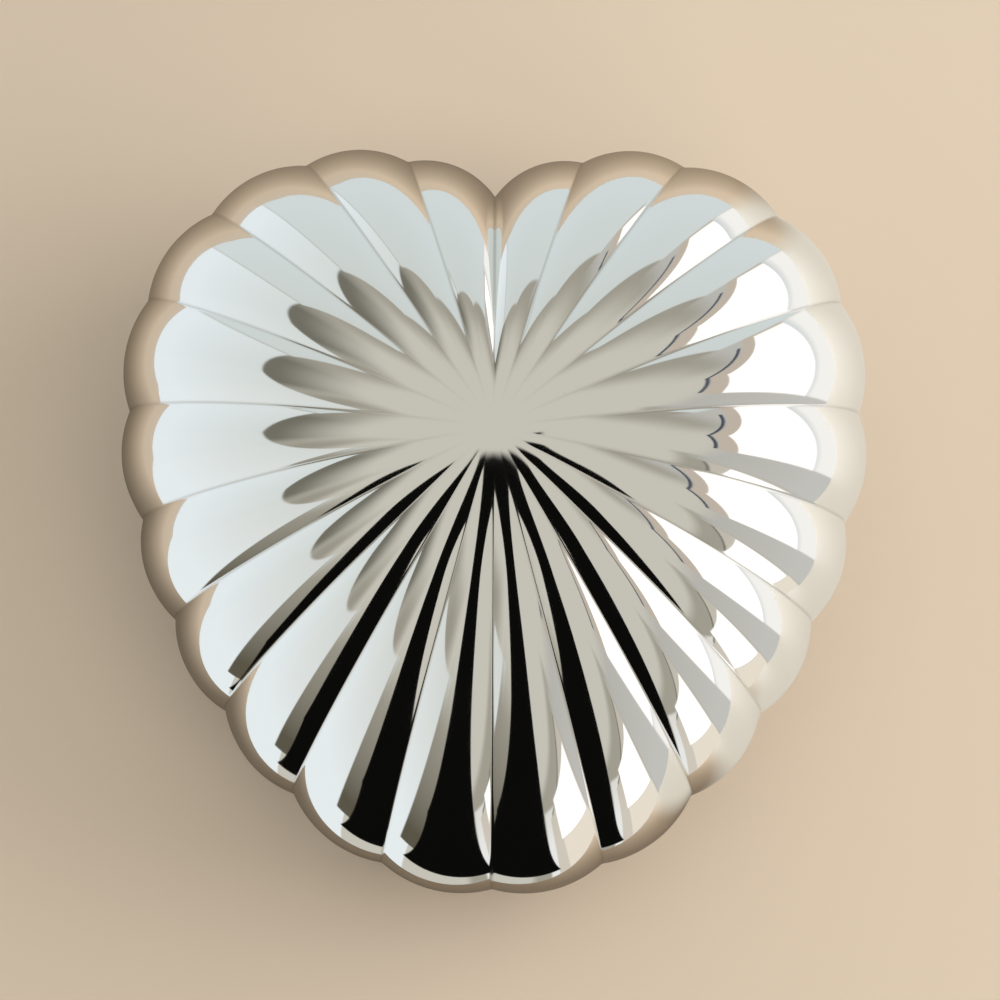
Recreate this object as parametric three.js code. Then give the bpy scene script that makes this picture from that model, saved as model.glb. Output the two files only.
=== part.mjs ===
// Heart-shaped bonbonniere: a fluted metal box with a fluted, domed lid that lifts off.
// Millimetres, +Z up, standing on z = 0. The cleft of the heart is at the back (+Y), its tip at the front.
import * as THREE from 'three';

// Plan of the heart, drawn through the creases between the flutes, about the axis where they meet
const lobeRadius = 27.9;
const lobeSpacing = 31;
const flankRadius = 68;
const tipRadius = 29;
const shoulderSetback = 8.5;
const fluteCount = 22;
const scallopRise = 1.7;
const creaseLean = THREE.MathUtils.degToRad(2.6);
const leanStart = THREE.MathUtils.degToRad(70);

// Outside of the box and the lid
const feltThickness = 0.8;
const baseHeight = 17.2;
const rimBand = 2.5;
const rimOverhang = 0.5;
const footInset = 10;
const skirtHeight = 3;
const domeRise = 23;
const domeFullness = 0.555;
const smoothCentre = 1.8;
const fluteRunIn = 16.8;
const fluteTaper = 1.37;
const metalWall = 1.2;

// Collar inside the mouth of the box, which the lid drops over, and the clearance of every fit
const fitClearance = 0.3;
const collarThickness = 0.8;
const collarSetdown = 0.4;
const collarDepth = 4;

// Linings
const cardThickness = 1;
const velvetThickness = 1;
const padThickness = 1.6;
const padCrown = 2;
const liningSetdown = 1;
const lidCardHeight = 8.5;
const feltMargin = 2;

// Steps of the curved surfaces
const stepsPerFlute = 6;
const stepsPerPlainFlute = 3;
const domeSteps = 11;
const innerDomeSteps = 7;
const wallSteps = 5;
const padSteps = 4;

const silverPlate = { color: 0xd8d6d2, roughness: 0.06, metalness: 1 };
const blueVelvet = { color: 0x1b2447, roughness: 0.95, metalness: 0 };
const greyCard = { color: 0x8f8a80, roughness: 0.9, metalness: 0 };
const darkFelt = { color: 0x20242e, roughness: 1, metalness: 0 };

// Levels above the table
const floorTop = feltThickness + metalWall;
const cardTop = floorTop + cardThickness;
const rimTop = feltThickness + baseHeight;
const bandLevel = rimTop - rimBand;
const domeFoot = rimTop + skirtHeight;
const collarTop = domeFoot - collarSetdown;
const collarBottom = rimTop - collarDepth;
const lidCardBottom = rimTop + lidCardHeight;
const lidCardTop = lidCardBottom + cardThickness;

// Arcs of the right half of the heart: lobe, flank and tip, each running into the next without a corner
const halfWidth = lobeSpacing / 2 + lobeRadius;
const lobeCentre = new THREE.Vector2(lobeSpacing / 2, shoulderSetback);
const flankCentre = new THREE.Vector2(halfWidth - flankRadius, shoulderSetback);
const tipDrop = Math.sqrt((flankRadius - tipRadius) ** 2 - flankCentre.x ** 2);
const tipCentre = new THREE.Vector2(0, shoulderSetback - tipDrop);
const flankToTip = tipCentre.clone().sub(flankCentre).normalize();

const cleftAngle = Math.PI / 2;
const fluteAngle = (2 * Math.PI) / fluteCount;
const angleSlack = 1e-6;

const footScale = 1 - footInset / halfWidth;
const innerDomeRise = domeRise - metalWall;

function directionOf(point) {
  return Math.atan2(point.y, point.x);
}

// The arc of the plain heart that a direction on the right half meets, drawn inset inside the creases
function plainArc(direction, inset) {
  const shoulder = new THREE.Vector2(halfWidth - inset, shoulderSetback);
  const tipStart = flankCentre.clone().addScaledVector(flankToTip, flankRadius - inset);
  if (direction >= directionOf(shoulder)) {
    return { centre: lobeCentre, radius: lobeRadius - inset };
  }
  if (direction >= directionOf(tipStart)) {
    return { centre: flankCentre, radius: flankRadius - inset };
  }
  return { centre: tipCentre, radius: tipRadius - inset };
}

// Distance from the flute axis, along a direction, to where it leaves a circle
function exitRadius(direction, { centre, radius }) {
  const along = centre.x * Math.cos(direction) + centre.y * Math.sin(direction);
  return along + Math.sqrt(along ** 2 - centre.lengthSq() + radius ** 2);
}

// The plain heart, inset inside the creases, as a radius for each direction
function plainHeart(inset) {
  return (direction) => {
    const right = Math.atan2(Math.sin(direction), Math.abs(Math.cos(direction)));
    return exitRadius(right, plainArc(right, inset));
  };
}

function pointOn(outline, direction) {
  return new THREE.Vector2(Math.cos(direction), Math.sin(direction)).multiplyScalar(outline(direction));
}

// Even turns about the axis from the cleft, but past the start of the lean the creases lean towards the tip,
// most of all midway to it
function creaseDirection(index) {
  const turn = index * fluteAngle;
  const fromCleft = Math.abs(Math.atan2(Math.sin(turn), Math.cos(turn)));
  const share = Math.max(0, (fromCleft - leanStart) / (Math.PI - leanStart));
  const lean = creaseLean * Math.sin(Math.PI * share);
  return cleftAngle + turn + Math.sign(Math.sin(turn)) * lean;
}

const creaseDirections = Array.from({ length: fluteCount }, (_, index) => creaseDirection(index));

// The flute that a direction meets
function fluteIndex(direction) {
  return creaseDirections.findLastIndex((crease) => crease <= direction + angleSlack);
}

// The circle of one flute's outline, through the creases on either side of it and raised between them
function fluteCircle(index) {
  const start = pointOn(plainHeart(0), creaseDirection(index));
  const end = pointOn(plainHeart(0), creaseDirection(index + 1));
  const halfChord = start.distanceTo(end) / 2;
  const radius = (halfChord ** 2 + scallopRise ** 2) / (2 * scallopRise);
  const outward = new THREE.Vector2(end.y - start.y, start.x - end.x).normalize();
  const middle = start.add(end).multiplyScalar(0.5);
  return { centre: middle.addScaledVector(outward, scallopRise - radius), radius };
}

const fluteCircles = Array.from({ length: fluteCount }, (_, index) => fluteCircle(index));

// The heart with a straight chord from crease to crease, as a radius for each direction
function creasedHeart(inset) {
  const plain = plainHeart(inset);
  return (direction) => {
    const index = fluteIndex(direction);
    const start = pointOn(plain, creaseDirection(index));
    const chord = pointOn(plain, creaseDirection(index + 1)).sub(start);
    return start.cross(chord) / pointOn(() => 1, direction).cross(chord);
  };
}

const creasedPlan = creasedHeart(0);

// How far a flute's circle stands out from its chord
function fluteRise(direction) {
  return exitRadius(direction, fluteCircles[fluteIndex(direction)]) - creasedPlan(direction);
}

// The heart between its plain and its creased outline, by how far the flutes have grown, from 0 to 1
function flutedHeart(inset, growth) {
  const plain = plainHeart(inset);
  const creased = creasedHeart(inset);
  return (direction) => THREE.MathUtils.lerp(plain(direction), creased(direction), growth);
}

const outside = flutedHeart(0, 1);
const inside = flutedHeart(metalWall, 1);
const boxOutside = flutedHeart(rimOverhang, 1);

// Insets of the plain hearts that fit inside the metal, one inside the other
const collarInset = metalWall + fitClearance;
const collarInnerInset = collarInset + collarThickness;
const liningInset = collarInnerInset + fitClearance;
const liningInnerInset = liningInset + velvetThickness;
const padInset = liningInnerInset + fitClearance;

// Solid swept round the flute axis: each ring is an outline, scaled about the axis, at a height. Its flutes
// stand out by reach and up by lift, as shares of their rise. The rings run so that the outer side goes up.
// They start and end on the axis, or close on themselves.
function heartSolid(rings, stepsInFlute) {
  const steps = fluteCount * stepsInFlute;
  const profile = rings.map(({ scale, height }) => new THREE.Vector2(scale, height));
  const geometry = new THREE.LatheGeometry(profile, steps);
  const position = geometry.attributes.position;
  for (let vertex = 0; vertex < position.count; vertex += 1) {
    const { outline, scale, height, reach, lift } = rings[vertex % rings.length];
    const step = Math.floor(vertex / rings.length) % steps;
    const flute = Math.floor(step / stepsInFlute);
    const share = (step % stepsInFlute) / stepsInFlute;
    const direction = THREE.MathUtils.lerp(creaseDirection(flute), creaseDirection(flute + 1), share);
    const rise = fluteRise(direction);
    const point = pointOn((angle) => scale * outline(angle) + reach * rise, direction);
    position.setXYZ(vertex, point.x, point.y, height + lift * rise);
  }
  return geometry;
}

function ring(outline, scale, height, reach = 0, lift = 0) {
  return { outline, scale, height, reach, lift };
}

function meshOf(name, geometry, finish) {
  const mesh = new THREE.Mesh(geometry, new THREE.MeshStandardMaterial(finish));
  mesh.name = name;
  return mesh;
}

// Dome from its foot up to the axis: the height falls away from the top as a power of 1 - scale squared.
// The flutes stand square to it, grow out of a smooth centre and deepen by a power of their distance from it.
function domeRings(inset, rise, steps) {
  return Array.from({ length: steps + 1 }, (_, step) => {
    const turn = ((steps - step) / steps) * (Math.PI / 2);
    const scale = Math.sin(turn);
    const fall = 2 * domeFullness * rise * scale * Math.cos(turn) ** (2 * domeFullness - 2);
    const slope = Math.atan2(fall, halfWidth);
    const growth = THREE.MathUtils.smoothstep(scale * halfWidth, smoothCentre, fluteRunIn);
    const depth = scale ** fluteTaper * growth;
    const height = domeFoot + rise * Math.cos(turn) ** (2 * domeFullness);
    const outline = flutedHeart(inset, growth);
    return ring(outline, scale, height, depth * Math.sin(slope), depth * Math.cos(slope));
  });
}

// Scale of the inside of the dome at a height, along a crease
function innerDomeScale(height) {
  return Math.sqrt(1 - ((height - domeFoot) / innerDomeRise) ** (1 / domeFullness));
}

// Quarter ellipse of the box's wall, from its flat floor to the band under its rim, drawn from a height
// upwards. Its flutes, as deep as fluting says, grow from nothing at the floor.
function wallRings({ inset, floor, from, fluting }) {
  const rise = bandLevel - floor;
  const firstTurn = Math.acos((bandLevel - from) / rise);
  return Array.from({ length: wallSteps + 1 }, (_, step) => {
    const turn = THREE.MathUtils.lerp(firstTurn, Math.PI / 2, step / wallSteps);
    const scale = THREE.MathUtils.lerp(footScale, 1, Math.sin(turn));
    const growth = fluting * Math.sin(turn);
    return ring(flutedHeart(inset, growth), scale, bandLevel - rise * Math.cos(turn), growth);
  });
}

function lidShell() {
  const rings = [
    ...domeRings(metalWall, innerDomeRise, innerDomeSteps).reverse(),
    ring(inside, 1, rimTop, 1),
    ring(outside, 1, rimTop, 1),
    ...domeRings(0, domeRise, domeSteps),
  ];
  return meshOf('lid_shell', heartSolid(rings, stepsPerFlute), silverPlate);
}

// The lid's rim overhangs the box all round, so only the outside of the box is set back
function baseShell() {
  const outer = { inset: rimOverhang, floor: feltThickness, from: feltThickness, fluting: 1 };
  const inner = { inset: metalWall, floor: floorTop, from: floorTop, fluting: 1 };
  const rings = [
    ring(boxOutside, 0, feltThickness),
    ...wallRings(outer),
    ring(boxOutside, 1, rimTop, 1),
    ring(inside, 1, rimTop, 1),
    ...wallRings(inner).reverse(),
    ring(inside, 0, floorTop),
  ];
  return meshOf('base_shell', heartSolid(rings, stepsPerFlute), silverPlate);
}

function locatingCollar() {
  const outer = plainHeart(collarInset);
  const inner = plainHeart(collarInnerInset);
  const rings = [
    ring(inner, 1, collarBottom),
    ring(outer, 1, collarBottom),
    ring(outer, 1, collarTop),
    ring(inner, 1, collarTop),
    ring(inner, 1, collarBottom),
  ];
  return meshOf('locating_collar', heartSolid(rings, stepsPerPlainFlute), silverPlate);
}

// Flat disc of card or felt
function heartDisc(name, outline, scale, bottom, top, finish) {
  const rings = [
    ring(outline, 0, bottom),
    ring(outline, scale, bottom),
    ring(outline, scale, top),
    ring(outline, 0, top),
  ];
  return meshOf(name, heartSolid(rings, stepsPerPlainFlute), finish);
}

// Crowned pad on a flat seat, its edge drawn in there. The crown rises from it, or hangs if side is -1.
function crownedPad(name, outline, scale, seat, side) {
  const roll = padThickness / 2;
  const crown = Array.from({ length: padSteps + 1 }, (_, step) => {
    const turn = ((padSteps - step) / padSteps) * (Math.PI / 2);
    const rise = roll + (roll + padCrown) * Math.cos(turn);
    return ring(outline, scale * Math.sin(turn), seat + side * rise);
  });
  const rings = [ring(outline, 0, seat), ring(outline, scale - roll / halfWidth, seat), ...crown];
  const upwards = side > 0 ? rings : rings.reverse();
  return meshOf(name, heartSolid(upwards, stepsPerPlainFlute), blueVelvet);
}

// Rings of a plain piece that lies on the floor card and draws in with the box's wall
function plainWallRings(inset) {
  return wallRings({ inset, floor: floorTop, from: cardTop, fluting: 0 });
}

// Velvet band, inside the collar above and drawn in with the box's wall below
function wallLining() {
  const top = collarTop - liningSetdown;
  const outerRings = plainWallRings(liningInset);
  const innerRings = plainWallRings(liningInnerInset);
  const rings = [
    innerRings[0],
    ...outerRings,
    ring(plainHeart(liningInset), 1, top),
    ring(plainHeart(liningInnerInset), 1, top),
    ...innerRings.reverse(),
  ];
  return meshOf('wall_lining', heartSolid(rings, stepsPerPlainFlute), blueVelvet);
}

function floorLining() {
  const [lowest] = plainWallRings(padInset);
  return [
    heartDisc('floor_card', plainHeart(collarInset), footScale, floorTop, cardTop, greyCard),
    crownedPad('floor_pad', plainHeart(padInset), lowest.scale, cardTop, 1),
  ];
}

function lidLining() {
  const fitScale = innerDomeScale(lidCardTop);
  return [
    heartDisc('lid_card', plainHeart(collarInset), fitScale, lidCardBottom, lidCardTop, greyCard),
    crownedPad('lid_pad', plainHeart(padInset), fitScale, lidCardBottom, -1),
  ];
}

function undersideFelt() {
  const outline = plainHeart(collarInset + feltMargin);
  return heartDisc('underside_felt', outline, footScale, 0, feltThickness, darkFelt);
}

// The flute axis stands where the widest outline is centred, front to back, on the origin
function centred(meshes) {
  const object = new THREE.Group();
  object.add(...meshes);
  const middle = new THREE.Box3().setFromObject(object).getCenter(new THREE.Vector3());
  object.position.set(-middle.x, -middle.y, 0);
  return object;
}

const bonbonniere = new THREE.Group();
bonbonniere.name = 'heart_bonbonniere';
bonbonniere.add(
  centred([
    lidShell(),
    ...lidLining(),
    baseShell(),
    locatingCollar(),
    wallLining(),
    ...floorLining(),
    undersideFelt(),
  ]),
);

export default bonbonniere;
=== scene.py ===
import math

import bpy
import numpy as np
from mathutils import Matrix, Vector


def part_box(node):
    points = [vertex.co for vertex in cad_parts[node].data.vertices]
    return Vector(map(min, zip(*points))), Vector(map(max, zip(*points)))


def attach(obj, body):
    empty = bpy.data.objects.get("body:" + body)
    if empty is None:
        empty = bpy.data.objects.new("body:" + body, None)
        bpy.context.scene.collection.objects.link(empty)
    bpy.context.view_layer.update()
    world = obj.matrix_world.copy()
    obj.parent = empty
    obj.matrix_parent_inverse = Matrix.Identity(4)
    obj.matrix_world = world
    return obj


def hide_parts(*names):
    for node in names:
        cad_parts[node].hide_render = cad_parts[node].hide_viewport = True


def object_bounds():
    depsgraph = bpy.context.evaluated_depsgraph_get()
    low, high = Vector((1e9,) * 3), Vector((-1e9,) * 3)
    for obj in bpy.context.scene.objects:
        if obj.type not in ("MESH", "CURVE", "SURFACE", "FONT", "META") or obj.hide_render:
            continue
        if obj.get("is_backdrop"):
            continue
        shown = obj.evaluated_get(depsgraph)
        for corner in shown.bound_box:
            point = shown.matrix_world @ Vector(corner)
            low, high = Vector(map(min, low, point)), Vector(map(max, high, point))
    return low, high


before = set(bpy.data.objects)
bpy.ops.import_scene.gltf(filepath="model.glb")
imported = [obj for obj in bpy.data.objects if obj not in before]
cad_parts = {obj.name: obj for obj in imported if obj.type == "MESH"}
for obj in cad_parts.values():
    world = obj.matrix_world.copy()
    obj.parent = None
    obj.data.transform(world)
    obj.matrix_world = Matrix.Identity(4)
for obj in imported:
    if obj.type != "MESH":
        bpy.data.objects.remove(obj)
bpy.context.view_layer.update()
mm = 0.001
tiny = 1e-6                     # keeps a division or a power off zero

# The frame gives the flute axis, at the very top of the lid, and the main levels in mm
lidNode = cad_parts["lid_shell"].data
lidPoints = np.empty(len(lidNode.vertices) * 3)
lidNode.vertices.foreach_get("co", lidPoints)
lidPoints = lidPoints.reshape(-1, 3)
fluteAxis = lidPoints[lidPoints[:, 2].argmax()][:2] / mm


def levelOf(node, corner):      # lowest (0) or highest (1) level of a node, mm
    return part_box(node)[corner][2] / mm


def linear(code):               # sRGB hex to the linear colour that a socket takes
    channels = np.array([int(code[start:start + 2], 16) for start in (0, 2, 4)]) / 255
    low, high = channels / 12.92, ((channels + 0.055) / 1.055) ** 2.4
    return (*np.where(channels <= 0.04045, low, high).tolist(), 1.0)


def addNode(tree, kind, inputs=(), **settings):     # a node with its settings, values and links
    node = tree.nodes.new(kind)
    for name, value in settings.items():
        setattr(node, name, value)
    for socket, value in dict(inputs).items():
        if isinstance(value, bpy.types.NodeSocket):
            tree.links.new(value, node.inputs[socket])
        else:
            node.inputs[socket].default_value = value
    return node


def perMm(size):                # texture scale whose features are this many mm across
    return 1 / (size * mm)


def smoothStep(value, start, end):      # 3t^2 - 2t^3 between two values
    t = np.clip((value - start) / (end - start), 0, 1)
    return t * t * (3 - 2 * t)


# Camera: almost straight down on the closed box, from the side of the heart's tip
camera = {
    "target": (0.75, 2.27, 20.0),   # mm
    "elevation": 81.0,
    "distance": 550.0,
    "lens": 166.5,
    "sensor": 36.0,
    "farthest": 50.0,               # m
    "roll": 0.27,
}
lensData = bpy.data.cameras.new("camera")
lensData.sensor_width = camera["sensor"]
lensData.lens = camera["lens"]
lensData.clip_end = camera["farthest"]
cameraObject = bpy.data.objects.new("camera", lensData)
bpy.context.scene.collection.objects.link(cameraObject)
lookUp = math.radians(camera["elevation"])
back = np.array([0, -math.cos(lookUp), math.sin(lookUp)])
cameraObject.location = (np.array(camera["target"]) + camera["distance"] * back) * mm
tilt = Matrix.Rotation(math.pi / 2 - lookUp, 3, "X")
cameraObject.rotation_euler = (tilt @ Matrix.Rotation(math.radians(camera["roll"]), 3, "Z")).to_euler()
bpy.context.scene.camera = cameraObject
print("camera placed")

# Plan of the heart through the creases, as radii about the flute axis (mm)
heart = {
    "lobeRadius": 27.9,
    "lobeSpacing": 31.0,
    "flankRadius": 68.0,
    "tipRadius": 29.0,
    "setback": 8.5,         # lobe centres behind the flute axis
    "flutes": 22,
    "scallop": 1.7,         # a flute's rise above the chord between its creases
    "lean": 2.6,            # degrees, the most that the creases lean towards the tip
    "leanStart": 70.0,      # degrees from the cleft
    "fillet": 0.12,         # soft metal on each side of a crease
    "cup": (0.02, 0.5),     # least and most of half a flute that it takes up
    "valley": 0.16,         # reach of the tarnish on each side of it
    "columns": 30,          # across a flute, closer together near its creases
}
halfWidth = heart["lobeSpacing"] / 2 + heart["lobeRadius"]
lobe = np.array([heart["lobeSpacing"] / 2, heart["setback"]])
flank = np.array([halfWidth - heart["flankRadius"], heart["setback"]])
tipDrop = math.sqrt((heart["flankRadius"] - heart["tipRadius"]) ** 2 - flank[0] ** 2)
tip = np.array([0.0, heart["setback"] - tipDrop])
toTip = (tip - flank) / np.linalg.norm(tip - flank)


# Distance along a direction to where it leaves a circle: along + sqrt(along^2 - centre^2 + radius^2),
# where along is the centre's own reach in that direction
def leaveCircle(direction, centre, radius):
    along = centre[..., 0] * np.cos(direction) + centre[..., 1] * np.sin(direction)
    return along + np.sqrt(np.maximum(along ** 2 - (centre ** 2).sum(-1) + radius ** 2, 0))


# Plain heart, drawn inset: the lobe's arc down to the shoulder, then the flank's, then the tip's
def plainHeart(direction, inset):
    right = np.arctan2(np.sin(direction), np.abs(np.cos(direction)))
    tipStart = flank + toTip * (heart["flankRadius"] - inset)[..., None]
    onLobe = right >= np.arctan2(heart["setback"], halfWidth - inset)
    onFlank = right >= np.arctan2(tipStart[..., 1], tipStart[..., 0])
    lobeReach = leaveCircle(right, lobe, heart["lobeRadius"] - inset)
    flankReach = leaveCircle(right, flank, heart["flankRadius"] - inset)
    tipReach = leaveCircle(right, tip, heart["tipRadius"] - inset)
    return np.where(onLobe, lobeReach, np.where(onFlank, flankReach, tipReach))


# Creases: even turns from the cleft, but past the start of the lean they lean towards the tip by
# lean * sin(180 degrees * share), share being how far they are from there to the tip
turns = np.arange(heart["flutes"] + 1) * 2 * np.pi / heart["flutes"]
fromCleft = np.abs(np.arctan2(np.sin(turns), np.cos(turns)))
leanStart = math.radians(heart["leanStart"])
leanShare = np.maximum((fromCleft - leanStart) / (np.pi - leanStart), 0)
leans = math.radians(heart["lean"]) * np.sin(np.pi * leanShare)
creases = np.pi / 2 + turns + np.sign(np.sin(turns)) * leans

# Columns: a half cosine from crease to crease, so they crowd at both
steps = (1 - np.cos(np.pi * np.arange(heart["columns"]) / heart["columns"])) / 2
fluteOf = np.repeat(np.arange(heart["flutes"]), heart["columns"])
before, after = creases[fluteOf][None, :], creases[fluteOf + 1][None, :]
directions = before + (after - before) * np.tile(steps, heart["flutes"])
cosines, sines = np.cos(directions), np.sin(directions)
noInset = np.zeros((1, 1))


# Straight chord from crease to crease, in polar form: sin(whole) / (sin(rest)/start + sin(part)/end)
def chordHeart(inset):
    start, end = plainHeart(before, inset), plainHeart(after, inset)
    return np.sin(after - before) / (np.sin(after - directions) / start + np.sin(directions - before) / end)


# Each flute is an arc through its creases; its rise is how far that arc stands outside the chord
creaseReach = plainHeart(creases[None, :], noInset)[0]
corners = creaseReach[:, None] * np.stack([np.cos(creases), np.sin(creases)], -1)
chords = corners[1:] - corners[:-1]
halfChords = np.linalg.norm(chords, axis=1) / 2
arcRadii = (halfChords ** 2 + heart["scallop"] ** 2) / (2 * heart["scallop"])
outward = np.stack([chords[:, 1], -chords[:, 0]], -1) / (2 * halfChords)[:, None]
arcCentres = (corners[1:] + corners[:-1]) / 2 + outward * (heart["scallop"] - arcRadii)[:, None]
fluteRise = leaveCircle(directions, arcCentres[fluteOf], arcRadii[fluteOf]) - chordHeart(noInset)
chordPoints = chordHeart(noInset)[0][:, None] * np.stack([cosines[0], sines[0]], -1)
alongChord = ((chordPoints - corners[fluteOf]) * chords[fluteOf]).sum(-1) / (2 * halfChords[fluteOf]) ** 2
toCrease = 1 - np.abs(2 * alongChord - 1)[None, :]      # 0 at a crease, 1 in the middle of a flute
halfChord = halfChords[fluteOf][None, :]


# One row of the table a profile is made of: where a ring lies and how far its flutes have grown
def rows(inset=0, scale=1, level=0, growth=0, reach=0, lift=0, polish=1):
    return np.stack(np.broadcast_arrays(inset, scale, level, growth, reach, lift, polish), -1).reshape(-1, 7)


# Rings of points: radius = scale * outline + reach * rise and height = level + lift * rise, the outline
# going from the plain heart to its chords as the flutes grow. Within the fillet the rise's parabola is
# replaced by a cup, so that the crease is a narrow valley and not a fold.
def heartRings(table):
    inset, scale, level, growth, reach, lift, polish = (part[:, None] for part in table.T)
    outline = (1 - growth) * plainHeart(directions, inset) + growth * chordHeart(inset)
    cup = np.clip(heart["fillet"] / np.maximum(scale * halfChord, tiny), *heart["cup"])
    soft = cup + (1 - cup) * toCrease ** 2 / cup - 2 * toCrease + toCrease ** 2
    rise = fluteRise + heart["scallop"] * np.where(toCrease < cup, soft, 0)
    radius = scale * outline + reach * rise
    points = np.stack([radius * cosines, radius * sines, level + lift * rise], -1)
    valley = growth * np.exp(-(toCrease * scale * halfChord / heart["valley"]) ** 2)
    return points, valley, polish + 0 * radius


# Rings joined into a skin that ends on the axis at both ends, or closes on itself as a band
def ringPiece(name, points, material, band=False, attributes=()):
    rings, columns = points.shape[:2]
    if band:
        keep = np.arange(rings * columns)
        index = np.vstack([keep.reshape(rings, columns), keep[:columns]])
    else:
        inner = np.arange(columns, (rings - 1) * columns)
        keep = np.concatenate([[0], inner, [(rings - 1) * columns]])
        index = 1 + np.arange(len(inner)).reshape(rings - 2, columns)
    near, far = index, np.roll(index, -1, axis=1)
    faces = np.stack([near[:-1], near[1:], far[1:], far[:-1]], -1).reshape(-1, 4).tolist()
    if not band:
        first, last = np.zeros(columns, int), np.full(columns, len(keep) - 1)
        faces += np.stack([first, near[0], far[0]], -1).tolist()
        faces += np.stack([near[-1], last, far[-1]], -1).tolist()
    place = np.array([fluteAxis[0], fluteAxis[1], 0])
    vertices = (points.reshape(-1, 3)[keep] + place) * mm
    mesh = bpy.data.meshes.new(name)
    mesh.from_pydata(vertices.tolist(), [], faces)
    mesh.polygons.foreach_set("use_smooth", np.ones(len(faces), bool))
    for label, values in dict(attributes).items():
        layer = mesh.attributes.new(label, "FLOAT", "POINT")
        layer.data.foreach_set("value", values.reshape(-1)[keep].astype(np.float32))
    mesh.materials.append(material)
    mesh.update()
    piece = bpy.data.objects.new(name, mesh)
    bpy.context.scene.collection.objects.link(piece)
    return piece


# Silver plate, buffed to a mirror: it shows the room sharply, with a faint swell left by the polishing
# wheel, cloudy wipe marks, grey tarnish down in the creases and a few specks of dust. The inside, which
# no wheel reached, is satin.
silver = {
    "bright": "F3F1EC",
    "tarnish": "A9A194",
    "tarnished": 0.4,       # share of it at the bottom of a crease
    "speck": "E4E0D6",
    "dust": 7.0,            # mm from speck to speck
    "speckEdge": (0.008, 0.016),    # of that
    "swell": 8.0,           # mm from swell to swell
    "swellDepth": 0.006,    # mm
    "wipe": 10.0,           # mm across a wipe mark
    "hairline": 0.25,       # mm apart; finer on the real plate, coarse enough here to show
    "hairDepth": 0.0002,    # mm
    "mirror": 0.03,         # roughness
    "wiped": 0.065,
    "satin": (0.21, 0.31),
    "rubbed": 0.12,         # more roughness at the bottom of a crease
}
silverPlate = bpy.data.materials.new("polished_silver_plate")
silverPlate.use_nodes = True
tree = silverPlate.node_tree
shader = tree.nodes["Principled BSDF"]
shader.inputs["Metallic"].default_value = 1
place = addNode(tree, "ShaderNodeTexCoord").outputs["Object"]
valley = addNode(tree, "ShaderNodeAttribute", attribute_name="valley").outputs["Fac"]
polish = addNode(tree, "ShaderNodeAttribute", attribute_name="polish").outputs["Fac"]
wipe = addNode(tree, "ShaderNodeTexNoise", {
    "Vector": place, "Scale": perMm(silver["wipe"]), "Detail": 4.0, "Roughness": 0.6}).outputs["Fac"]
wiped = addNode(tree, "ShaderNodeMapRange", {
    "Value": wipe, "From Min": 0.4, "From Max": 0.75, "To Min": silver["mirror"],
    "To Max": silver["wiped"]}).outputs["Result"]
stretched = addNode(tree, "ShaderNodeMapping", {
    "Vector": place, "Rotation": (0.2, 0.1, 0.6), "Scale": (1, 0.03, 1)}).outputs["Vector"]
hairs = addNode(tree, "ShaderNodeTexNoise", {
    "Vector": stretched, "Scale": perMm(silver["hairline"]), "Detail": 2.0}).outputs["Fac"]
satin = addNode(tree, "ShaderNodeMapRange", {
    "Value": hairs, "From Min": 0.3, "From Max": 0.7, "To Min": silver["satin"][0],
    "To Max": silver["satin"][1]}).outputs["Result"]
finish = addNode(tree, "ShaderNodeMix", {"Factor": polish, "A": satin, "B": wiped}).outputs["Result"]
rubbed = addNode(tree, "ShaderNodeMath", {
    0: valley, 1: silver["rubbed"], 2: finish}, operation="MULTIPLY_ADD")
tree.links.new(rubbed.outputs["Value"], shader.inputs["Roughness"])
dusty = addNode(tree, "ShaderNodeTexVoronoi", {
    "Vector": place, "Scale": perMm(silver["dust"]), "Randomness": 1.0})
speck = addNode(tree, "ShaderNodeMapRange", {
    "Value": dusty.outputs["Distance"], "From Min": silver["speckEdge"][0],
    "From Max": silver["speckEdge"][1], "To Min": 1.0, "To Max": 0.0}).outputs["Result"]
tarnish = addNode(tree, "ShaderNodeMath", {
    0: valley, 1: silver["tarnished"]}, operation="MULTIPLY").outputs["Value"]
plate = addNode(tree, "ShaderNodeMix", {
    "Factor": tarnish, "A": linear(silver["bright"]), "B": linear(silver["tarnish"])}, data_type="RGBA")
dusted = addNode(tree, "ShaderNodeMix", {
    "Factor": speck, "A": plate.outputs["Result"], "B": linear(silver["speck"])}, data_type="RGBA")
tree.links.new(dusted.outputs["Result"], shader.inputs["Base Color"])
swell = addNode(tree, "ShaderNodeTexNoise", {
    "Vector": place, "Scale": perMm(silver["swell"]), "Detail": 1.0}).outputs["Fac"]
swelled = addNode(tree, "ShaderNodeBump", {
    "Height": swell, "Distance": silver["swellDepth"] * mm, "Strength": 1.0}).outputs["Normal"]
scratched = addNode(tree, "ShaderNodeBump", {
    "Height": hairs, "Distance": silver["hairDepth"] * mm, "Strength": 1.0,
    "Normal": swelled}).outputs["Normal"]
tree.links.new(scratched, shader.inputs["Normal"])
print("silver mixed")

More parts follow.
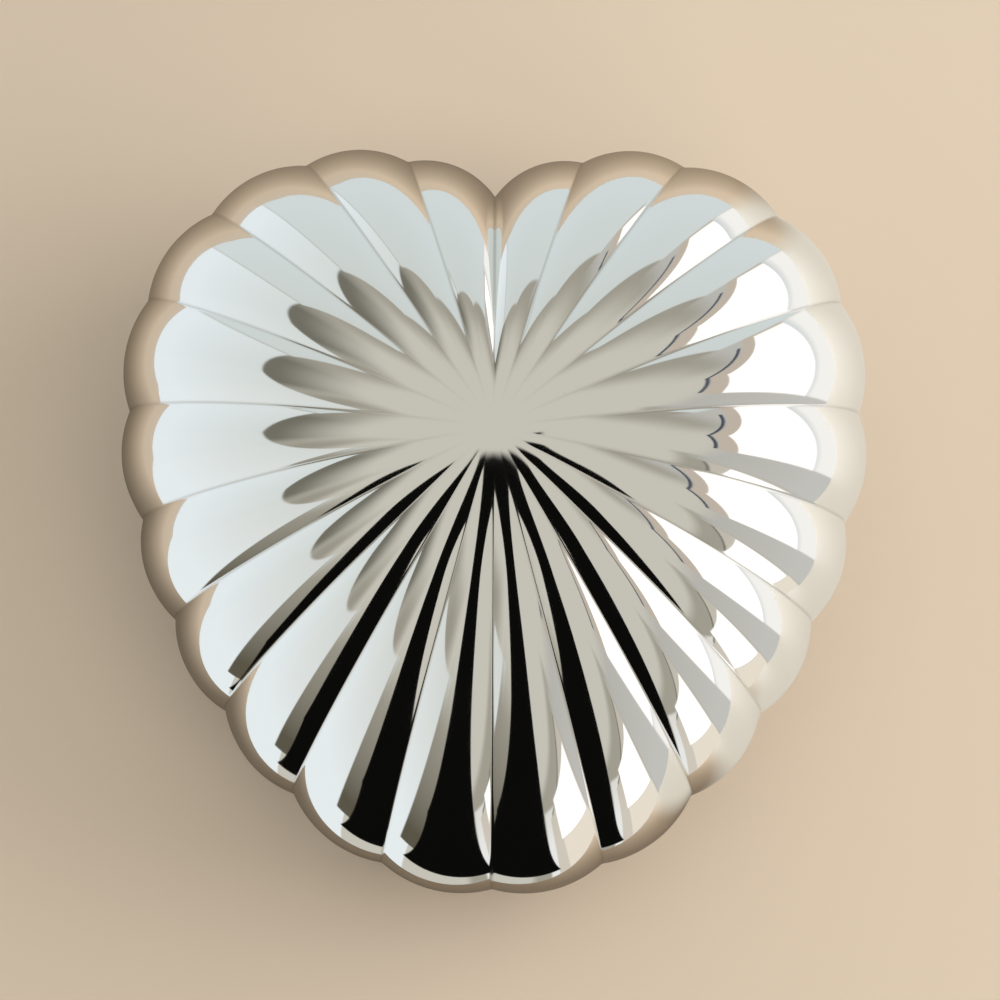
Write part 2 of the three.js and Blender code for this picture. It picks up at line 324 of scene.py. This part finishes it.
# Cotton velvet, woven with a cut pile: it drinks the light face on and glows where the pile lies over,
# in patches that a thumb has brushed one way or the other
velvet = {
    "deep": "141B3A",
    "worn": "28345F",
    "glow": "6F7FB8",
    "pile": 0.45,           # mm a tuft; finer on the real cloth, coarse enough here to show
    "brushed": 7.0,         # mm across a brushed patch
    "brushing": 0.6,        # how strongly the patches show, against the tufts
    "nap": 0.12,            # mm the tufts stand up
}
blueVelvet = bpy.data.materials.new("blue_cotton_velvet")
blueVelvet.use_nodes = True
tree = blueVelvet.node_tree
shader = tree.nodes["Principled BSDF"]
shader.inputs["Roughness"].default_value = 0.95
shader.inputs["Specular IOR Level"].default_value = 0.15
shader.inputs["Sheen Weight"].default_value = 0.7
shader.inputs["Sheen Roughness"].default_value = 0.4
shader.inputs["Sheen Tint"].default_value = linear(velvet["glow"])
place = addNode(tree, "ShaderNodeTexCoord").outputs["Object"]
tufts = addNode(tree, "ShaderNodeTexNoise", {
    "Vector": place, "Scale": perMm(velvet["pile"]), "Detail": 2.0, "Roughness": 0.6}).outputs["Fac"]
brushed = addNode(tree, "ShaderNodeTexNoise", {
    "Vector": place, "Scale": perMm(velvet["brushed"]), "Detail": 2.0, "Distortion": 0.6}).outputs["Fac"]
both = addNode(tree, "ShaderNodeMath", {
    0: brushed, 1: velvet["brushing"], 2: tufts}, operation="MULTIPLY_ADD")
share = addNode(tree, "ShaderNodeMapRange", {
    "Value": both.outputs["Value"], "From Min": 0.5, "From Max": 1.1}).outputs["Result"]
cloth = addNode(tree, "ShaderNodeMix", {
    "Factor": share, "A": linear(velvet["deep"]), "B": linear(velvet["worn"])}, data_type="RGBA")
tree.links.new(cloth.outputs["Result"], shader.inputs["Base Color"])
napped = addNode(tree, "ShaderNodeBump", {
    "Height": both.outputs["Value"], "Distance": velvet["nap"] * mm, "Strength": 0.8}).outputs["Normal"]
tree.links.new(napped, shader.inputs["Normal"])

# Wool felt, pressed: matted fibres with paler hairs on a slate ground, and no gloss at all
felt = {
    "ground": "23272F",
    "hair": "4A505B",
    "fibre": 0.3,           # mm; finer in the real felt, coarse enough here to show
    "mat": 4.0,             # mm across a denser patch
    "matting": 0.5,         # how strongly those show, against the fibres
    "nap": 0.08,            # mm
}
woolFelt = bpy.data.materials.new("pressed_wool_felt")
woolFelt.use_nodes = True
tree = woolFelt.node_tree
shader = tree.nodes["Principled BSDF"]
shader.inputs["Roughness"].default_value = 1
shader.inputs["Specular IOR Level"].default_value = 0.1
shader.inputs["Sheen Weight"].default_value = 0.25
shader.inputs["Sheen Roughness"].default_value = 0.6
place = addNode(tree, "ShaderNodeTexCoord").outputs["Object"]
fibres = addNode(tree, "ShaderNodeTexNoise", {
    "Vector": place, "Scale": perMm(felt["fibre"]), "Detail": 3.0, "Distortion": 2.5}).outputs["Fac"]
mats = addNode(tree, "ShaderNodeTexNoise", {
    "Vector": place, "Scale": perMm(felt["mat"]), "Detail": 2.0}).outputs["Fac"]
matted = addNode(tree, "ShaderNodeMath", {
    0: mats, 1: felt["matting"], 2: fibres}, operation="MULTIPLY_ADD")
share = addNode(tree, "ShaderNodeMapRange", {
    "Value": matted.outputs["Value"], "From Min": 0.55, "From Max": 0.95}).outputs["Result"]
wool = addNode(tree, "ShaderNodeMix", {
    "Factor": share, "A": linear(felt["ground"]), "B": linear(felt["hair"])}, data_type="RGBA")
tree.links.new(wool.outputs["Result"], shader.inputs["Base Color"])
hairy = addNode(tree, "ShaderNodeBump", {
    "Height": fibres, "Distance": felt["nap"] * mm, "Strength": 0.7}).outputs["Normal"]
tree.links.new(hairy, shader.inputs["Normal"])
print("cloths mixed")

# Lid: a fluted dome on a short upright skirt, 1.2 mm metal
lid = {
    "skirt": 3.0,           # mm from the rim up to where the dome springs
    "rise": 23.0,
    "fullness": 0.555,      # power of 1 - scale^2 in the dome's height
    "smoothCentre": 1.8,    # mm round the axis with no flutes
    "runIn": 16.8,          # mm from the axis where they are fully grown
    "taper": 1.37,          # power of the scale that they deepen by
    "metal": 1.2,
    "edge": 0.12,           # rounding of the parting edges
    "rings": (82, 34),      # outside and inside
}
rimTop = levelOf("lid_shell", 0)
domeFoot = rimTop + lid["skirt"]
quarter = np.linspace(0, np.pi / 2, 6)


# Dome by turn from the axis to its foot: scale = sin(turn), level = foot + rise * cos(turn)^(2 fullness);
# the flutes stand square to the slope, their depth growth * scale^taper
def domeRows(inset, rise, count, polish):
    turn = np.linspace(0, np.pi / 2, count)
    scale, fall = np.sin(turn), np.maximum(np.cos(turn), tiny)
    steepness = 2 * lid["fullness"] * rise * scale * fall ** (2 * lid["fullness"] - 2)
    slope = np.arctan2(steepness, halfWidth)
    growth = smoothStep(scale * halfWidth, lid["smoothCentre"], lid["runIn"])
    level = domeFoot + rise * fall ** (2 * lid["fullness"])
    depth = growth * scale ** lid["taper"]
    return rows(inset, scale, level, growth, depth * np.sin(slope), depth * np.cos(slope), polish)


edge, metal = lid["edge"], lid["metal"]
skirt = np.linspace(domeFoot, rimTop + edge, 6)[1:-1]
lidTable = np.vstack([
    domeRows(0, lid["rise"], lid["rings"][0], 1),
    rows(0, 1, skirt, 1, 1, 0, 1),
    rows(edge * (1 - np.cos(quarter)), 1, rimTop + edge * (1 - np.sin(quarter)), 1, 1, 0, 1),
    rows(metal - edge * (1 - np.sin(quarter)), 1, rimTop + edge * (1 - np.cos(quarter)), 1, 1, 0, 0),
    rows(metal, 1, skirt[::-1], 1, 1, 0, 0),
    domeRows(metal, lid["rise"] - metal, lid["rings"][1], 0)[::-1],
])
points, valleys, polished = heartRings(lidTable)
lidPiece = ringPiece("lid_silver", points, silverPlate, attributes={"valley": valleys, "polish": polished})
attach(lidPiece, "lid")
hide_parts("lid_shell")
print("lid made")

# Box: a fluted wall that swells from a flat foot to an upright band under the rim, set back there so that
# the lid overhangs it
box = {
    "band": 2.5,            # mm from the rim down to where the wall starts to draw in
    "overhang": 0.5,        # of the lid's rim
    "footInset": 10.0,
    "rings": (30, 16),      # outside and inside
}
foot, floorTop = levelOf("base_shell", 0), levelOf("base_shell", 0) + metal
bandLevel = rimTop - box["band"]
footScale = 1 - box["footInset"] / halfWidth
setBack = box["overhang"]


# Wall by turn: a quarter ellipse, scale = foot + (1 - foot) * sin(turn), its level falling from the band
# by cos(turn), and flutes that grow from nothing at the floor
def wallRows(inset, floor, turn, fluting, polish):
    grown = fluting * np.sin(turn)
    scale = footScale + (1 - footScale) * np.sin(turn)
    return rows(inset, scale, bandLevel - (bandLevel - floor) * np.cos(turn), grown, grown, 0, polish)


band = np.linspace(bandLevel, rimTop - edge, 4)[1:-1]
boxTable = np.vstack([
    rows(metal, np.linspace(0, footScale, 4), floorTop, 0, 0, 0, 0),
    wallRows(metal, floorTop, np.linspace(0, np.pi / 2, box["rings"][1])[1:], 1, 0),
    rows(metal, 1, band, 1, 1, 0, 0),
    rows(metal - edge * (1 - np.cos(quarter)), 1, rimTop - edge * (1 - np.sin(quarter)), 1, 1, 0, 0),
    rows(setBack + edge * (1 - np.sin(quarter)), 1, rimTop - edge * (1 - np.cos(quarter)), 1, 1, 0, 1),
    rows(setBack, 1, band[::-1], 1, 1, 0, 1),
    wallRows(setBack, foot, np.linspace(np.pi / 2, 0, box["rings"][0]), 1, 1),
    rows(setBack, np.linspace(footScale, 0, 5)[1:], foot, 0, 0, 0, 1),
])
points, valleys, polished = heartRings(boxTable)
boxPiece = ringPiece("box_silver", points, silverPlate, attributes={"valley": valleys, "polish": polished})
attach(boxPiece, "base")
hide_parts("base_shell")

# Collar inside the mouth: a plain band with a rounded lip that the lid drops over
collar = {
    "inset": 1.5,
    "thickness": 0.8,
    "lip": 0.3,
}
low, high = levelOf("locating_collar", 0), levelOf("locating_collar", 1)
lip, outer, inner = collar["lip"], collar["inset"], collar["inset"] + collar["thickness"]
collarTable = np.vstack([
    rows(inner, 1, np.linspace(low, high - lip, 5)[:-1]),
    rows(inner - lip * (1 - np.cos(quarter)), 1, high - lip * (1 - np.sin(quarter))),
    rows(outer + lip * (1 - np.sin(quarter)), 1, high - lip * (1 - np.cos(quarter))),
    rows(outer, 1, np.linspace(high - lip, low, 5)[1:]),
])
points, valleys, polished = heartRings(collarTable)
collarPiece = ringPiece(
    "collar_silver", points, silverPlate, True, {"valley": valleys, "polish": polished})
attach(collarPiece, "base")
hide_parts("locating_collar")
print("box and collar made")

# Velvet band round the inside of the wall, its top edge folded over and softly uneven, with a thin hem at
# its foot that goes under the edge of the pad
lining = {
    "inset": 2.6,
    "thickness": 1.0,
    "unevenness": 0.16,
    "waves": (23, 41, 9),   # round the heart: two that beat together and a slow one
    "rings": 14,
    "hem": 0.15,            # mm thick
    "hemReach": 0.5,
}
low, high = levelOf("wall_lining", 0), levelOf("wall_lining", 1)
firstTurn = math.acos((bandLevel - low) / (bandLevel - floorTop))
hemTurn = math.acos((bandLevel - low - lining["hem"]) / (bandLevel - floorTop))
innerInset, fold = lining["inset"] + lining["thickness"], lining["thickness"] / 2
halfTurn = np.linspace(0, np.pi, 9)
hem = wallRows(innerInset + lining["hemReach"], floorTop, np.array([firstTurn]), 0, 0)
innerWall = wallRows(innerInset, floorTop, np.linspace(hemTurn, np.pi / 2, lining["rings"]), 0, 0)
outerWall = wallRows(lining["inset"], floorTop, np.linspace(np.pi / 2, firstTurn, lining["rings"]), 0, 0)
folded = rows(innerInset - fold * (1 - np.cos(halfTurn)), 1, high - fold * (1 - np.sin(halfTurn)))
upright = np.linspace(bandLevel, high - fold, 5)[1:-1]
liningTable = np.vstack([
    hem, innerWall, rows(innerInset, 1, upright), folded, rows(lining["inset"], 1, upright[::-1]), outerWall])
points = heartRings(liningTable)[0]
beat, quick, slow = lining["waves"]
wave = np.sin(beat * directions + 1.3) * np.sin(quick * directions) + np.sin(slow * directions + 0.4)
ring = np.arange(len(liningTable))[:, None]
innerEnd = len(hem) + len(innerWall) + len(upright) + len(folded) // 2
onInner = (ring > 0) & (ring <= innerEnd)
outwards = np.stack([cosines, sines, 0 * sines], -1)
points = points + outwards * (onInner * lining["unevenness"] * (1 + wave / 2))[..., None] / 2
liningPiece = ringPiece("wall_velvet", points, blueVelvet, True)
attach(liningPiece, "base")
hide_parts("wall_lining")

# Pads: velvet drawn over wadding, crowned in the middle, with small gathers where it is tucked in
pad = {
    "inset": 3.9,
    "thickness": 1.6,       # at the edge
    "crown": 2.0,           # more in the middle
    "gather": 0.16,
    "gathers": 88,
    "wander": (7, 1.1),     # times round, and radians, that they stray by
    "gatherFrom": 0.8,      # share of the way out where they begin
    "gatherRadius": 30.0,   # mm from the axis, about where they are
    "rings": 26,
    "seatRings": 4,         # flat rings under the pad, left off where it lies on its card
}


# Crown by turn: scale * sin(turn) out from the axis, roll + (roll + crown) * cos(turn) up from the seat;
# under the widest ring the edge rolls in to the seat
def padPoints(scale, seat, side):
    roll, turn = pad["thickness"] / 2, np.linspace(0, np.pi / 2, pad["rings"])
    tuck, drawnIn = np.linspace(0, np.pi / 2, 6)[1:], roll / halfWidth
    table = np.vstack([
        rows(pad["inset"], scale * np.sin(turn), seat + side * (roll + (roll + pad["crown"]) * np.cos(turn))),
        rows(pad["inset"], scale - drawnIn * (1 - np.cos(tuck)), seat + side * roll * (1 - np.sin(tuck))),
        rows(pad["inset"], np.linspace(scale - drawnIn, 0, pad["seatRings"] + 1)[1:], seat),
    ])
    points = heartRings(table)[0]
    outness = np.linalg.norm(points[..., :2], axis=-1) / np.linalg.norm(points[..., :2], axis=-1).max(0)
    pulled = smoothStep(outness, pad["gatherFrom"], 1.0)
    stray = pad["wander"][1] * np.sin(pad["wander"][0] * directions)
    ripple = 0.5 + 0.5 * np.sin(pad["gathers"] * directions + stray)
    points[..., :2] *= (1 - pad["gather"] / pad["gatherRadius"] * pulled * ripple)[..., None]
    points[..., 2] -= pad["gather"] * pulled * ripple * (points[..., 2] - seat) / pad["thickness"]
    return points


# The velvet is turned round the card that a pad is fixed to: half a round at the card's edge, from the pad's
# seat to the far side, then in to the axis
def cardRows(scale, seat, farSide):
    half = (farSide - seat) / 2
    reach = abs(half) / halfWidth
    return np.vstack([
        rows(collar["inset"], scale - reach * (1 - np.sin(halfTurn)), seat + half * (1 - np.cos(halfTurn))),
        rows(collar["inset"], np.linspace(scale - reach, 0, 5)[1:], farSide),
    ])


floorScale = wallRows(pad["inset"], floorTop, np.array([firstTurn]), 0, 0)[0, 1]
seat = levelOf("floor_pad", 0)
laid = padPoints(floorScale, seat, 1)[:-pad["seatRings"]]
points = np.concatenate([laid, heartRings(cardRows(footScale, seat, levelOf("floor_card", 0)))[0]])
floorPad = ringPiece("floor_velvet_pad", points, blueVelvet)
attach(floorPad, "base")
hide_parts("floor_pad", "floor_card")

# The pad in the lid is the same, hung upside down
seat, cardHigh = levelOf("lid_card", 0), levelOf("lid_card", 1)
lidScale = math.sqrt(1 - ((cardHigh - domeFoot) / (lid["rise"] - metal)) ** (1 / lid["fullness"]))
hung = padPoints(lidScale, seat, -1)[:-pad["seatRings"]]
points = np.concatenate([hung, heartRings(cardRows(lidScale, seat, cardHigh))[0]])[::-1]
lidPad = ringPiece("lid_velvet_pad", points, blueVelvet)
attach(lidPad, "lid")
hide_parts("lid_pad", "lid_card")
print("velvet laid")

# Felt under the foot, cut with a soft edge
felted = {
    "inset": 3.5,
    "edge": 0.25,
}
low, high = levelOf("underside_felt", 0), levelOf("underside_felt", 1)
soft, drawnIn = felted["edge"], felted["edge"] / halfWidth
feltTable = np.vstack([
    rows(felted["inset"], np.linspace(0, footScale - drawnIn, 6), high),
    rows(felted["inset"], footScale - drawnIn * (1 - np.sin(quarter)), high - soft * (1 - np.cos(quarter))),
    rows(felted["inset"], footScale - drawnIn * (1 - np.cos(quarter)), low + soft * (1 - np.sin(quarter))),
    rows(felted["inset"], np.linspace(footScale - drawnIn, 0, 6)[1:], low),
])
points = heartRings(feltTable)[0]
feltPiece = ringPiece("foot_felt", points, woolFelt)
widest = points[np.ptp(points[..., 0], axis=1).argmax(), :, :2] * mm      # the ring at its edge
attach(feltPiece, "base")
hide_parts("underside_felt")
print("felt laid")

# Floor: a plain pale table top, lightly waxed. Mirrored in the silver it is a warmer wood with painted light
# on the side of the soft boxes and a painted shadow against the box, and it ends a short way off.
table = {
    "colour": "E8D3BB",
    "wood": "E6CBAD",
    # painted light on the mirrored wood, then its painted shadow beside the box
    "bright": "EBE4D9",
    "brightTowards": 92.0,                  # degrees, azimuth of the bright side
    "brightFrom": (0.57, 0.74),             # cosine of the angle from it
    "dark": 0.35,                           # share of the light left beside the box
    "darkUntil": (0.045, 0.115),            # m from the middle of the dark
    "darkMiddle": (-0.008, -0.006),         # m, on the shaded side of the box
    "darkLength": 0.8,                      # of that distance counts, front to back
    "half": 3.0,                            # m
    "turned": 18.0,                         # degrees
    "mirrored": (-0.2, 0.17, -0.064, 0.19), # m, from left to right and front to back
}
tableTop = bpy.data.materials.new("pale_waxed_table")
tableTop.use_nodes = True
tree = tableTop.node_tree
shader = tree.nodes["Principled BSDF"]
shader.inputs["Roughness"].default_value = 0.32
shader.inputs["Specular IOR Level"].default_value = 0.5
mirrored = addNode(tree, "ShaderNodeLightPath").outputs["Is Glossy Ray"]
place = addNode(tree, "ShaderNodeTexCoord").outputs["Object"]
side = math.radians(table["brightTowards"])
heading = addNode(tree, "ShaderNodeVectorMath", {0: place}, operation="NORMALIZE").outputs["Vector"]
facing = addNode(tree, "ShaderNodeVectorMath", {
    0: heading, 1: (math.sin(side), -math.cos(side), 0)}, operation="DOT_PRODUCT").outputs["Value"]
aside, ahead, shorter = *table["darkMiddle"], table["darkLength"]
shaded = addNode(tree, "ShaderNodeMapping", {
    "Vector": place, "Location": (-aside, -ahead * shorter, 0), "Scale": (1, shorter, 1)}).outputs["Vector"]
away = addNode(tree, "ShaderNodeVectorMath", {0: shaded}, operation="LENGTH").outputs["Value"]
# Painted light: the mirrored wood turns brighter towards the soft boxes
paintedLight = addNode(tree, "ShaderNodeMapRange", {
    "Value": facing, "From Min": table["brightFrom"][0], "From Max": table["brightFrom"][1]},
    interpolation_type="SMOOTHSTEP").outputs["Result"]
# Painted shadow: the mirrored wood darkens close to the box, most on its shaded side
paintedShadow = addNode(tree, "ShaderNodeMapRange", {
    "Value": away, "From Min": table["darkUntil"][0], "From Max": table["darkUntil"][1],
    "To Min": table["dark"]}).outputs["Result"]
darkened = addNode(tree, "ShaderNodeMix", {
    "Factor": 1.0, "A": linear(table["wood"]), "B": paintedShadow}, data_type="RGBA", blend_type="MULTIPLY")
wood = addNode(tree, "ShaderNodeMix", {
    "Factor": paintedLight, "A": darkened.outputs["Result"], "B": linear(table["bright"])}, data_type="RGBA")
waxed = addNode(tree, "ShaderNodeMix", {
    "Factor": mirrored, "A": linear(table["colour"]), "B": wood.outputs["Result"]}, data_type="RGBA")
tree.links.new(waxed.outputs["Result"], shader.inputs["Base Color"])
left, right, near, far = table["mirrored"]
squared = addNode(tree, "ShaderNodeMapping", {
    "Vector": place, "Rotation": (0, 0, math.radians(table["turned"]))}).outputs["Vector"]
fromMiddle = addNode(tree, "ShaderNodeVectorMath", {
    0: squared, 1: ((left + right) / 2, (near + far) / 2, 0)}, operation="SUBTRACT").outputs["Vector"]
ofHalf = addNode(tree, "ShaderNodeVectorMath", {
    0: fromMiddle, 1: ((right - left) / 2, (far - near) / 2, 1)}, operation="DIVIDE").outputs["Vector"]
apart = addNode(tree, "ShaderNodeSeparateXYZ", {
    0: addNode(tree, "ShaderNodeVectorMath", {0: ofHalf}, operation="ABSOLUTE").outputs["Vector"]}).outputs
outermost = addNode(tree, "ShaderNodeMath", {0: apart["X"], 1: apart["Y"]}, operation="MAXIMUM").outputs[0]
beyond = addNode(tree, "ShaderNodeMath", {0: outermost, 1: 1.0}, operation="GREATER_THAN").outputs[0]
cut = addNode(tree, "ShaderNodeMath", {0: beyond, 1: mirrored}, operation="MULTIPLY").outputs[0]
clear = addNode(tree, "ShaderNodeBsdfTransparent").outputs["BSDF"]
ended = addNode(tree, "ShaderNodeMixShader", {0: cut, 1: shader.outputs["BSDF"], 2: clear}).outputs["Shader"]
tree.links.new(ended, tree.nodes["Material Output"].inputs["Surface"])
spread = table["half"]
mesh = bpy.data.meshes.new("table_top")
mesh.from_pydata([(-spread, -spread, 0), (spread, -spread, 0), (spread, spread, 0), (-spread, spread, 0)],
                 [], [(0, 1, 2, 3)])
mesh.materials.append(tableTop)
floorPiece = bpy.data.objects.new("table_top", mesh)
bpy.context.scene.collection.objects.link(floorPiece)
floorPiece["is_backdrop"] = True

# Lamps for the table and the linings, from where the soft boxes stand and from above. The mirror shows the
# painted studio and not these.
lamps = {
    "right_box": {"azimuth": 100, "elevation": 30, "distance": 0.5, "size": (0.45, 0.35), "power": 1.25},
    "front_box": {"azimuth": 40, "elevation": 28, "distance": 0.6, "size": (0.3, 0.3), "power": 0.35},
    "overhead": {"azimuth": 180, "elevation": 84, "distance": 1.2, "size": (1.2, 1.2), "power": 1.6},
}
for name, lamp in lamps.items():
    light = bpy.data.lights.new(name, "AREA")
    light.shape = "RECTANGLE"
    light.size, light.size_y = lamp["size"]
    light.energy = lamp["power"]
    lampPiece = bpy.data.objects.new(name, light)
    around, over = math.radians(lamp["azimuth"]), math.radians(lamp["elevation"])
    towards = Vector((math.sin(around) * math.cos(over), -math.cos(around) * math.cos(over), math.sin(over)))
    lampPiece.location = towards * lamp["distance"]
    lampPiece.rotation_euler = towards.to_track_quat("Z", "Y").to_euler()
    lampPiece.visible_glossy = False
    lampPiece.visible_camera = False
    bpy.context.scene.collection.objects.link(lampPiece)

# Studio, painted by direction in degrees: a warm grey ceiling, then panels laid over it one after another.
# A panel runs across an azimuth (0 in front, + to the right), with its upper edge at either end, and its
# lower edge if it has one, the softness of its top and of its sides, and its colour above, and below if
# that is another. The flag is a tapered black sheet, laid the other way: across is the tilt from straight
# up to the front, and its edges are sideways.
studio = {
    "backdrop": "EADFD2",
    "ceiling": "CECCC4",
    "panels": [
        # shade under the cornice
        {"across": (-200, -140), "high": (72, 62), "soft": 22, "sides": 8, "above": "A9A69C"},
        {"across": (-144, -84), "high": (66, 72), "soft": 26, "sides": 11, "above": "76746B"},
        {"across": (-84, -54), "high": (72, 80), "soft": 22, "sides": 12, "above": "A09D93"},
        {"across": (112, 200), "high": (60, 68), "soft": 22, "sides": 12, "above": "A5A298"},
        # back wall, then the left wall in three lengths
        {"across": (-200, -143), "high": (50, 40), "soft": 1.2, "sides": 1,
         "above": "D2DADA", "below": "D9E4E8"},
        {"across": (-143, -104), "high": (39, 42), "soft": 1.2, "sides": 1,
         "above": "DCE4E5", "below": "EDF7FF"},
        {"across": (-105, -82), "high": (42, 47.5), "soft": 1.2, "sides": 0.5,
         "above": "DCE3E3", "below": "EEF8FF"},
        {"across": (-83, -36), "high": (47.3, 59), "soft": 1.2, "sides": 0.5,
         "above": "DADFDE", "below": "F0F9FF"},
        {"across": (-144, -142.6), "high": (39, 39), "soft": 2, "sides": 0.5,
         "above": "C0C3BD", "below": "D3DADB"},
        # dark olive panel on the left of the flag, and a shaded arch on its right
        {"across": (-43, -18), "low": (-12, -12), "high": (66, 66), "soft": 22, "sides": 0.7,
         "above": "B4B2A7", "below": "5E5A4D"},
        {"across": (6, 60), "high": (26, 56), "soft": 7, "sides": 3, "above": "A8A69B"},
        # right wall and the wall behind it
        {"across": (54, 142), "high": (52, 44), "soft": 12, "sides": 2, "above": "B9B9B5", "below": "CACBC9"},
        {"across": (141, 200), "high": (34, 55), "soft": 2, "sides": 1, "above": "D2DADA", "below": "D9E4E8"},
        # front soft box in its reveal
        {"across": (17, 30), "high": (21, 22), "soft": 2, "sides": 1, "above": "E4E4E0", "below": "F2F4F6"},
        {"across": (22, 54), "high": (16, 42), "soft": 1, "sides": 0.5, "above": "C6C1B8", "below": "D8D2C8"},
        {"across": (24, 53), "low": (16.5, 40), "high": (18, 41.5), "soft": 0.4, "sides": 0.6,
         "above": "77766F"},
        {"across": (29, 54), "high": (0, 0), "soft": 1, "sides": 0.6, "above": "F5EEE2", "below": "F1E9DD"},
        {"across": (28, 53), "low": (0, 0), "high": (23.5, 31.5), "soft": 0.6, "sides": 0.6,
         "above": "FFFFFF", "strength": 1.3},
        # right soft box, its top falling away to the back
        {"across": (77, 104), "high": (44, 46), "soft": 0.6, "sides": 1, "above": "C6BCB0"},
        {"across": (103, 141), "high": (46, 25), "soft": 0.6, "sides": 1, "above": "C6BCB0"},
        {"across": (79, 104), "low": (44.5, 46), "high": (46, 47.5), "soft": 0.5, "sides": 0.6,
         "above": "454C5C"},
        {"across": (103.5, 134), "low": (46, 29.5), "high": (47.5, 31), "soft": 0.5, "sides": 0.6,
         "above": "454C5C"},
        {"across": (77, 141), "high": (6, 7), "soft": 1.5, "sides": 1, "above": "C9D4DA", "below": "FFFFFF"},
        {"across": (77, 104), "low": (3.5, 4), "high": (38, 41), "soft": 0.6, "sides": 1,
         "above": "FFFFFF", "strength": 1.3},
        {"across": (103, 139.5), "low": (4, 6), "high": (41, 21), "soft": 0.6, "sides": 0.8,
         "above": "FFFFFF", "strength": 1.3},
        # black flag in front, in three lengths that widen downwards
        {"flag": True, "across": (-6, 37), "low": (-3.5, -14.5), "high": (8.5, 11.5),
         "soft": 0.7, "sides": 0.7, "above": "0C0C0B"},
        {"flag": True, "across": (35, 72), "low": (-14, -27.6), "high": (11.3, 16),
         "soft": 0.7, "sides": 0.7, "above": "0C0C0B"},
        {"flag": True, "across": (70, 121), "low": (-26.8, -33), "high": (15.6, 20.2),
         "soft": 0.7, "sides": 0.7, "above": "0C0C0B"},
    ],
}
world = bpy.data.worlds.new("studio")
bpy.context.scene.world = world
world.use_nodes = True
tree = world.node_tree
tree.nodes.clear()
ray = addNode(tree, "ShaderNodeTexCoord").outputs["Generated"]
parts = addNode(tree, "ShaderNodeSeparateXYZ", {0: ray}).outputs
front = addNode(tree, "ShaderNodeMath", {0: parts["Y"], 1: -1.0}, operation="MULTIPLY").outputs[0]
radians = [
    addNode(tree, "ShaderNodeMath", {0: parts["X"], 1: front}, operation="ARCTAN2"),    # azimuth
    addNode(tree, "ShaderNodeMath", {0: parts["Z"]}, operation="ARCSINE"),              # elevation
    addNode(tree, "ShaderNodeMath", {0: front, 1: parts["Z"]}, operation="ARCTAN2"),    # tilt to the front
    addNode(tree, "ShaderNodeMath", {0: parts["X"]}, operation="ARCSINE"),              # sideways
]
azimuth, elevation, tiltOver, sideways = [
    addNode(tree, "ShaderNodeMath", {0: turned.outputs[0]}, operation="DEGREES").outputs[0]
    for turned in radians]
colour = linear(studio["ceiling"])
for panel in studio["panels"]:
    along, upward = (tiltOver, sideways) if panel.get("flag") else (azimuth, elevation)
    start, end = panel["across"]
    soft, sides, strength = panel["soft"], panel["sides"], panel.get("strength", 1)
    borders = [(along, start - sides, start + sides), (along, end + sides, end - sides)]
    for name, outside, within in (("low", -0.5, 0.5), ("high", 0.0, -soft)):
        if name in panel:
            border = addNode(tree, "ShaderNodeMapRange", {
                "Value": along, "From Min": start, "From Max": end, "To Min": panel[name][0],
                "To Max": panel[name][1]}).outputs["Result"]
            past = addNode(tree, "ShaderNodeMath", {0: upward, 1: border}, operation="SUBTRACT").outputs[0]
            borders.append((past, outside, within))
    covered = 1.0
    for value, outside, within in borders:
        mask = addNode(tree, "ShaderNodeMapRange", {
            "Value": value, "From Min": outside, "From Max": within},
            interpolation_type="SMOOTHSTEP").outputs["Result"]
        covered = addNode(tree, "ShaderNodeMath", {0: covered, 1: mask}, operation="MULTIPLY").outputs[0]
    above = [channel * strength for channel in linear(panel["above"])]
    below = [channel * strength for channel in linear(panel.get("below", panel["above"]))]
    height = addNode(tree, "ShaderNodeMapRange", {
        "Value": upward, "From Min": 0.0, "From Max": max(panel["high"])}).outputs["Result"]
    shade = addNode(tree, "ShaderNodeMix", {"Factor": height, "A": below, "B": above}, data_type="RGBA")
    colour = addNode(tree, "ShaderNodeMix", {
        "Factor": covered, "A": colour, "B": shade.outputs["Result"]}, data_type="RGBA").outputs["Result"]
seen = addNode(tree, "ShaderNodeLightPath").outputs["Is Camera Ray"]
colour = addNode(tree, "ShaderNodeMix", {
    "Factor": seen, "A": colour, "B": linear(studio["backdrop"])}, data_type="RGBA").outputs["Result"]
painted = addNode(tree, "ShaderNodeBackground", {"Color": colour, "Strength": 1.0}).outputs["Background"]
addNode(tree, "ShaderNodeOutputWorld", {"Surface": painted})
bpy.context.scene.view_settings.view_transform = "Standard"
print("studio lit")

low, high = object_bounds()
